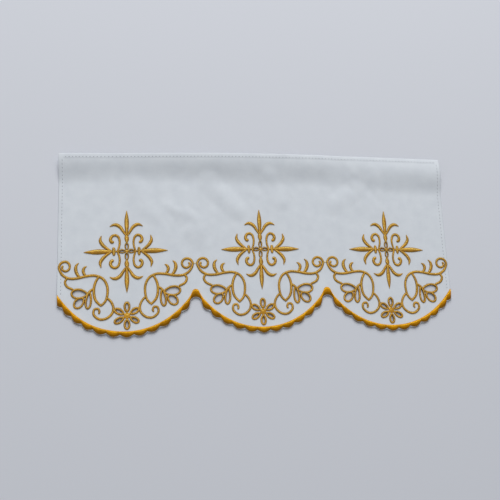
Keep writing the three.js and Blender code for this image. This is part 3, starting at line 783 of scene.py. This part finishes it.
def near_lines(points, lines, cell):
    """Which points lie in or beside a square cell that holds a corner of the lines."""
    taken = set()
    for line in lines:
        for x, y in line:
            i, j = int(x // cell), int(y // cell)
            taken.update((i + a, j + b) for a in (-1, 0, 1) for b in (-1, 0, 1))
    return np.array([(int(x // cell), int(y // cell)) in taken for x, y in points])


def build_cloth(material):
    """The cloth, triangulated flat between its outline and its holes, and its area."""
    outline, holes = cloth_outline(), openings()
    columns, rows = int(WIDTH / GRID), int(DEPTH / GRID)
    xs, ys = np.meshgrid(np.arange(columns + 1), np.arange(rows + 1))
    staggered = xs + 0.5 * (ys % 2)
    grid = np.column_stack([staggered.ravel() * GRID - WIDTH / 2, ys.ravel() * GRID - DEPTH / 2])
    near_side = np.abs(grid[:, 0]) > WIDTH / 2 - HEM_ROWS_WIDTH
    near_hem = near_side | (grid[:, 1] > DEPTH / 2 - HEM_ROWS_WIDTH)
    grid = np.vstack([grid[~near_hem], hem_points()])
    grid = grid[inside(grid, outline)]
    for hole in holes:
        grid = grid[~inside(grid, hole)]
    grid = grid[~near_lines(grid, [outline] + holes, EDGE_CLEARANCE)]
    points, edges = [], []
    for line in [outline] + holes:
        first, count = len(points), len(line)
        points += [Vector(p) for p in line]
        edges += [(first + k, first + (k + 1) % count) for k in range(count)]
    points += [Vector(p) for p in grid]
    flat, _, faces, _, _, _ = delaunay_2d_cdt(points, edges, [], TRIANGLES_INSIDE, MERGE_DISTANCE)
    flat = np.array([(p.x, p.y) for p in flat])
    faces = np.array(faces)
    centres = flat[faces].mean(axis=1)
    for hole in holes:
        keep = ~inside(centres, hole)
        faces, centres = faces[keep], centres[keep]
    return thickened_cloth(flat, faces, material)


def thickened_cloth(flat, faces, material):
    """Both faces of the cloth, joined by walls along its edge and its holes, and its flat
    area in square metres."""
    first, second, third = flat[faces[:, 0]], flat[faces[:, 1]], flat[faces[:, 2]]
    doubled = np.cross(second - first, third - first)
    faces = np.where((doubled < 0)[:, None], faces[:, ::-1], faces)
    area = np.abs(doubled).sum() / 2
    count = len(flat)
    low = cloth_height(flat[:, 0], flat[:, 1])
    high = cloth_top(flat[:, 0], flat[:, 1]) - stitch_dimples(flat)
    points = np.vstack([np.column_stack([flat, low]), np.column_stack([flat, high])])
    sides = np.vstack([faces[:, [0, 1]], faces[:, [1, 2]], faces[:, [2, 0]]])
    known = {(a, b) for a, b in sides.tolist()}
    rim = np.array([(a, b) for a, b in sides.tolist() if (b, a) not in known])
    walls = np.column_stack([rim[:, 0], rim[:, 1], rim[:, 1] + count, rim[:, 0] + count])
    top = np.column_stack([faces + count, faces[:, 2] + count])
    bottom = np.column_stack([faces[:, ::-1], faces[:, 0]])
    panel = mesh_piece("cloth", points, np.vstack([top, bottom, walls]), material)
    return panel, area * DRAWN_OUT * MM * MM


def hem_stitch_places():
    """The middle of each hem stitch and the direction of its seam."""
    places = []
    x, top = WIDTH / 2 - HEM_LINE, DEPTH / 2 - HEM_LINE
    for y in np.arange(top - HEM_PITCH, -DEPTH / 2 + HEM_STITCHES_START, -HEM_PITCH):
        places += [(side * x, y, 0.0, 1.0) for side in (-1, 1)]
    for along in np.arange(-x + HEM_PITCH, x - HEM_PITCH / 2, HEM_PITCH):
        places.append((along, top, 1.0, 0.0))
    return places


def stitch_dimples(flat):
    """How far each hem stitch presses the cloth in."""
    depth = np.zeros(len(flat))
    for x, y, dx, dy in hem_stitch_places():
        near = np.abs(flat - (x, y)).max(axis=1) < DIMPLE["reach"]
        along = (flat[near] - (x, y)) @ (dx, dy)
        across = (flat[near] - (x, y)) @ (-dy, dx)
        fall = (along / DIMPLE["length"]) ** 2 + (across / DIMPLE["width"]) ** 2
        depth[near] += DIMPLE["depth"] * np.exp(-fall)
    return depth


def build_hem_stitches(material):
    stitches = Stitching(SEED)
    half = HEM_STITCH["length"] / 2
    for x, y, dx, dy in hem_stitch_places():
        line = np.array([(x - dx * half, y - dy * half), (x + dx * half, y + dy * half)])
        stitches.stroke(line, HEM_STITCH["widths"], drop=HEM_STITCH["drop"], relief=HEM_STITCH["relief"])
    return stitches.piece("hem_stitches", material)


def stroke_line(stroke, sign_x, sign_y):
    points = (curl_points(stroke["curl"]) if "curl" in stroke else []) + stroke["points"]
    if stroke.get("doubled"):
        points = points + [(x, -y) for x, y in stroke["points"][-2::-1]]
    return spline([(sign_x * x, sign_y * y) for x, y in points])


def sew_stroke(stitching, stroke, middle, sign_x, sign_y):
    line = placed(stroke_line(stroke, sign_x, sign_y), middle)
    stitching.stroke(line, stroke["widths"], turn=stroke.get("widest_at", HALF_WAY))


def sew_loop(stitching, line, width=LOOP_WIDTH, painted_shade=0):
    """A closed stroke round an opening, which covers the cloth's edge there."""
    stitching.stroke(line, (width,) * 3, closed=True, drop=THICKNESS, painted_shade=painted_shade)


def build_scroll(name, middle, side, seed, material):
    stitching = Stitching(seed)
    for stroke in SCROLL_STROKES:
        sew_stroke(stitching, stroke, middle, side, 1)
    for loop in SCROLL_LOOPS:
        sew_loop(stitching, placed(loop_line(loop, LOOP_STEPS["scroll"]), middle, side))
    return stitching.piece(name, material)


def build_flower(name, middle, seed, material):
    stitching = Stitching(seed)
    for loop in flower_loops():
        sew_loop(stitching, placed(loop_line(loop, LOOP_STEPS["flower"]), middle))
    stitching.rosette(middle, CROSS_LINE + FLOWER_Y, HUB_RADIUS, HUB_HEIGHT, PETALS)
    return stitching.piece(name, material)


def build_cross(name, middle, seed, material):
    stitching = Stitching(seed)
    for stroke in CROSS_STROKES:
        for sign_x, sign_y in SIGNS[stroke["across"]]:
            sew_stroke(stitching, stroke, middle, sign_x, sign_y)
    for loop in CROSS_LOOPS:
        for sign_x, sign_y in SIGNS[loop["across"]]:
            line = placed(loop_line(loop, LOOP_STEPS["cross"]), middle, sign_x, sign_y)
            # The eyes get painted shade: darker thread round their shadowed openings.
            sew_loop(stitching, line, EYE_WIDTH, EYE_PAINTED_SHADE)
    stitching.rosette(middle, CROSS_LINE, KNOT_RADIUS, KNOT_HEIGHT)
    return stitching.piece(name, material)


def build_link(name, x, seed, material):
    stitching = Stitching(seed)
    half = LINK["length"] / 2
    y = CROSS_LINE + LINK["y"]
    line = np.array([(x - half, y), (x + half, y)])
    stitching.stroke(line, (LINK["width"],) * 3, relief=LINK_RELIEF)
    return stitching.piece(name, material)


def build_edging(material):
    """The satin edging: threads from its inner line out to its bumps."""
    steps = front_steps(2 * round(EDGING_ARC * INNER_RADIUS / THREAD_PITCH))
    inner = np.array([inner_point(t, shared) + (middle, CROSS_LINE) for middle, t, shared in steps])
    outer = np.array([outer_point(t, shared, EDGING_WRAP) + (middle, CROSS_LINE)
                      for middle, t, shared in steps])
    reach = WIDTH / 2 - EDGING_SIDE_INSET
    keep = (np.abs(inner[:, 0]) < reach) & (np.abs(outer[:, 0]) < reach)
    inner, outer = inner[keep], outer[keep]
    stitching = Stitching(SEED + 1)
    count = len(inner)
    crest, ragged, tone = stitching.variation(count, EDGING_TONES, EDGING_GROOVE_PAINTED_SHADE_TONE)
    span = outer - inner
    width = np.linalg.norm(span, axis=1)
    ray = span / width[:, None]
    inner = inner - ray * ragged[:, :1]
    outer = outer + ray * ragged[:, 1:]
    fullness = smooth((width - EDGING_NARROW_WIDTH) / EDGING_WIDENING)
    height = EDGING_RELIEF * (EDGING_NARROW_RELIEF + (1 - EDGING_NARROW_RELIEF) * fullness)
    height = height - np.where(crest, 0, THREAD_GROOVE)
    rings = np.zeros((count, len(EDGING_PROFILE), 3))
    tones = np.zeros(rings.shape[:2])
    for k, (u, z) in enumerate(EDGING_PROFILE):
        place = inner + (outer - inner) * u
        ground = cloth_top(place[:, 0], place[:, 1])
        rings[:, k, 0] = place[:, 0]
        rings[:, k, 1] = place[:, 1]
        rings[:, k, 2] = ground + (-EDGING_DROP[k > 0] if z is None else height * z)
        # A painted highlight next to the inner line, and painted shade towards the bumps.
        painted_highlight = EDGING_PAINTED_HIGHLIGHT * (u < EDGING_PAINTED_HIGHLIGHT_END)
        outward_painted_shade = smooth((u - EDGING_PAINTED_SHADE_START) / EDGING_PAINTED_SHADE_SPAN)
        tones[:, k] = tone + TONE_RAISE + painted_highlight - EDGING_PAINTED_SHADE * outward_painted_shade
    stitching.add_rings(rings[:, ::-1], tones[:, ::-1], False, ~crest)
    return stitching.piece("edging", material)


def build_frays(material):
    """Loose white threads of the cut edge, most of them in the notches of the edging."""
    source = random.Random(SEED)
    stitching = Stitching(SEED + 2)
    for middle, t, shared in front_steps(2 * BUMPS_PER_HALF * FRAY_PLACES_PER_BUMP):
        notch = bump_share(t) < FRAY_NOTCH
        for _ in range(FRAYS_IN_NOTCH if notch else 1):
            if not notch and source.random() < FRAYS_LEFT_OUT:
                continue
            x, y = outer_point(t, shared, RAW_EDGE - FRAY_INSET) + (middle, CROSS_LINE)
            if abs(x) > WIDTH / 2 - FRAY_SIDE_INSET:
                continue
            fray(stitching, source, x, y, middle, notch)
    return stitching.piece("frays", material)


def fray(stitching, source, x, y, middle, notch):
    """One loose thread from the edge at x and y: a thin bent spike with three sides."""
    outwards = math.atan2(y - CROSS_LINE - ARC_CENTRE_Y, x - middle)
    away = outwards + source.uniform(-FRAY_TURN, FRAY_TURN)
    length = source.uniform(*(NOTCH_FRAY_LENGTHS if notch else BUMP_FRAY_LENGTHS))
    bend = source.uniform(-FRAY_BEND, FRAY_BEND)
    droop = source.uniform(0.0, FRAY_DROOP)
    rings = []
    for k in range(FRAY_SPANS + 1):
        share = k / FRAY_SPANS
        heading = away + bend * share
        px = x + length * share * math.cos(heading)
        py = y + length * share * math.sin(heading)
        pz = float(cloth_height(x, y)) + THICKNESS / 2 - droop * share * share
        pz = max(pz, FRAY_LEAST_HEIGHT)
        radius = FRAY_RADIUS * (1 - FRAY_TAPER * share)
        side = (-math.sin(heading) * radius, math.cos(heading) * radius)
        rings.append([(px - side[0], py - side[1], pz - radius / 2),
                      (px, py, pz + radius), (px + side[0], py + side[1], pz - radius / 2)])
    rings = np.array(rings)
    stitching.add_rings(rings[:, ::-1], np.full(len(rings), FRAY_TONE), False)


def new_material(name):
    """A material with its nodes, its links and its shader."""
    material = bpy.data.materials.new(name)
    material.use_nodes = True
    nodes = material.node_tree.nodes
    return material, nodes, material.node_tree.links, nodes["Principled BSDF"]


def add_noise(nodes, links, coords, scale, detail=2):
    """A noise texture in the object's own space."""
    noise = nodes.new("ShaderNodeTexNoise")
    noise.inputs["Scale"].default_value = scale
    noise.inputs["Detail"].default_value = detail
    links.new(coords.outputs["Object"], noise.inputs["Vector"])
    return noise.outputs["Fac"]


def add_sum(nodes, links, first, second):
    total = nodes.new("ShaderNodeMath")
    total.operation = "ADD"
    links.new(first, total.inputs[0])
    links.new(second, total.inputs[1])
    return total.outputs["Value"]


def add_ramp(nodes, links, source, shader, stops):
    """The shader's colour, blended between two stops by the source."""
    ramp = nodes.new("ShaderNodeValToRGB")
    for element, (position, colour) in zip(ramp.color_ramp.elements, stops):
        element.position = position
        element.color = colour
    links.new(source, ramp.inputs["Fac"])
    links.new(ramp.outputs["Color"], shader.inputs["Base Color"])


def add_bump(nodes, links, source, shader, strength, height):
    """A fine relief of the given height, in millimetres."""
    bump = nodes.new("ShaderNodeBump")
    bump.inputs["Strength"].default_value = strength
    bump.inputs["Distance"].default_value = height * MM
    links.new(source, bump.inputs["Height"])
    links.new(bump.outputs["Normal"], shader.inputs["Normal"])


def cloth_material():
    """Plain-woven white cloth: fine crossed threads and a faint mottling."""
    material, nodes, links, shader = new_material("white_cloth")
    shader.inputs["Roughness"].default_value = 0.82
    shader.inputs["Sheen Weight"].default_value = 0.15
    coords = nodes.new("ShaderNodeTexCoord")
    weave = []
    for direction in ("X", "Y"):
        wave = nodes.new("ShaderNodeTexWave")
        wave.bands_direction = direction
        wave.inputs["Scale"].default_value = 2 * math.pi / (20 * WEAVE_PITCH * MM)
        wave.inputs["Distortion"].default_value = 0.6
        links.new(coords.outputs["Object"], wave.inputs["Vector"])
        weave.append(wave.outputs["Fac"])
    crossed = add_sum(nodes, links, *weave)
    mottle = add_noise(nodes, links, coords, MOTTLE_SCALE, detail=4)
    add_ramp(nodes, links, mottle, shader, [(0.3, CLOTH_DARK), (0.7, CLOTH_LIGHT)])
    add_bump(nodes, links, crossed, shader, 0.35, WEAVE_HEIGHT)
    return material


def thread_material(name):
    """Thread, a little lighter or darker from stitch to stitch, with its sheen. Its tone also
    carries painted shade and a painted highlight.
    """
    look = THREADS[name]
    material, nodes, links, shader = new_material(name)
    shader.inputs["Roughness"].default_value = look["roughness"]
    shader.inputs["IOR"].default_value = look["ior"]
    shader.inputs["Specular Tint"].default_value = look["gloss"]
    coords = nodes.new("ShaderNodeTexCoord")
    tone = nodes.new("ShaderNodeAttribute")
    tone.attribute_name = "tone"
    patches = add_noise(nodes, links, coords, PATCH_SCALE, detail=3)
    blend = add_sum(nodes, links, tone.outputs["Fac"], patches)
    scaled = nodes.new("ShaderNodeMath")
    scaled.operation = "MULTIPLY"
    scaled.inputs[1].default_value = TONE_SCALE
    links.new(blend, scaled.inputs[0])
    stops = [(0.3, look["dark"]), (1.0, look["light"])]
    add_ramp(nodes, links, scaled.outputs["Value"], shader, stops)
    fibres = add_noise(nodes, links, coords, FIBRE_SCALE)
    add_bump(nodes, links, fibres, shader, 0.3, FIBRE_HEIGHT)
    return material


def floor_material():
    material, _, _, shader = new_material("pale_floor")
    shader.inputs["Base Color"].default_value = FLOOR["colour"]
    shader.inputs["Roughness"].default_value = 0.9
    return material


def build_floor():
    bpy.ops.mesh.primitive_plane_add(size=FLOOR["size"], location=(0, 0, -FLOOR["drop"] * MM))
    floor = bpy.context.object
    floor.name = "floor"
    floor.data.materials.append(floor_material())


def build_lights():
    """A large round lamp behind the cloth, aimed at its middle, and an even sky."""
    data = bpy.data.lights.new("key", "AREA")
    data.shape = "DISK"
    data.size = LAMP["size"]
    data.energy = LAMP["energy"]
    lamp = bpy.data.objects.new("key", data)
    lamp.location = LAMP["place"]
    lamp.rotation_euler = (-Vector(LAMP["place"])).to_track_quat("-Z", "Y").to_euler()
    bpy.context.scene.collection.objects.link(lamp)
    world = bpy.data.worlds.new("studio")
    bpy.context.scene.world = world
    world.use_nodes = True
    background = world.node_tree.nodes["Background"]
    background.inputs["Color"].default_value = SKY["colour"]
    background.inputs["Strength"].default_value = SKY["strength"]


def build_camera():
    """The photograph's view: above the left part of the front edge, tilted a little."""
    data = bpy.data.cameras.new("camera")
    data.sensor_width = SENSOR_WIDTH
    data.lens = LENS
    data.clip_start = NEAREST
    camera = bpy.data.objects.new("camera", data)
    turn = Matrix.Identity(3)
    for axis in ("Z", "Y", "X"):
        turn = turn @ Matrix.Rotation(math.radians(CAMERA_TURNS[axis]), 3, axis)
    place = Vector(CAMERA_PLACE) * MM
    camera.matrix_world = Matrix.Translation(place) @ turn.transposed().to_4x4()
    bpy.context.scene.collection.objects.link(camera)
    bpy.context.scene.camera = camera


def main():
    bpy.context.scene.view_settings.view_transform = "Standard"
    build_camera()
    build_lights()
    build_floor()
    white = cloth_material()
    gold = thread_material("gold_thread")
    deep_gold = thread_material("edging_thread")
    pale = thread_material("pale_thread")
    # Grey hem thread, as painted shade of the needle holes.
    painted_shade_sewing = thread_material("sewing_thread_painted_shade")
    fibre = thread_material("edge_fibre")

    trims = []
    edging = build_edging(deep_gold)
    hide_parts("scalloped_edging")
    trims.append((edging, "gold_thread"))
    for k, middle in enumerate(scallop_middles(), start=1):
        seed = 10 * k
        made = {
            f"cross_{k}": build_cross(f"cross_stitching_{k}", middle, seed, gold),
            f"flower_{k}": build_flower(f"flower_stitching_{k}", middle, seed + 1, gold),
            f"scroll_left_{k}": build_scroll(f"scroll_stitching_left_{k}", middle, -1, seed + 2, gold),
            f"scroll_right_{k}": build_scroll(f"scroll_stitching_right_{k}", middle, 1, seed + 3, gold),
        }
        for node, piece in made.items():
            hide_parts(node)
            trims.append((piece, "gold_thread"))
    for k in range(1, SCALLOPS):
        link = build_link(f"link_stitching_{k}", (k - SCALLOPS / 2) * PITCH, LINK_SEED + k, pale)
        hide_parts(f"link_{k}")
        trims.append((link, "pale_thread"))
    trims.append((build_hem_stitches(painted_shade_sewing), "white_cloth"))
    trims.append((build_frays(fibre), "white_cloth"))
    panel, area = build_cloth(white)
    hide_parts("cloth_panel")
    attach(panel, "root")
    for piece, slot in trims:
        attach(piece, "root")


main()
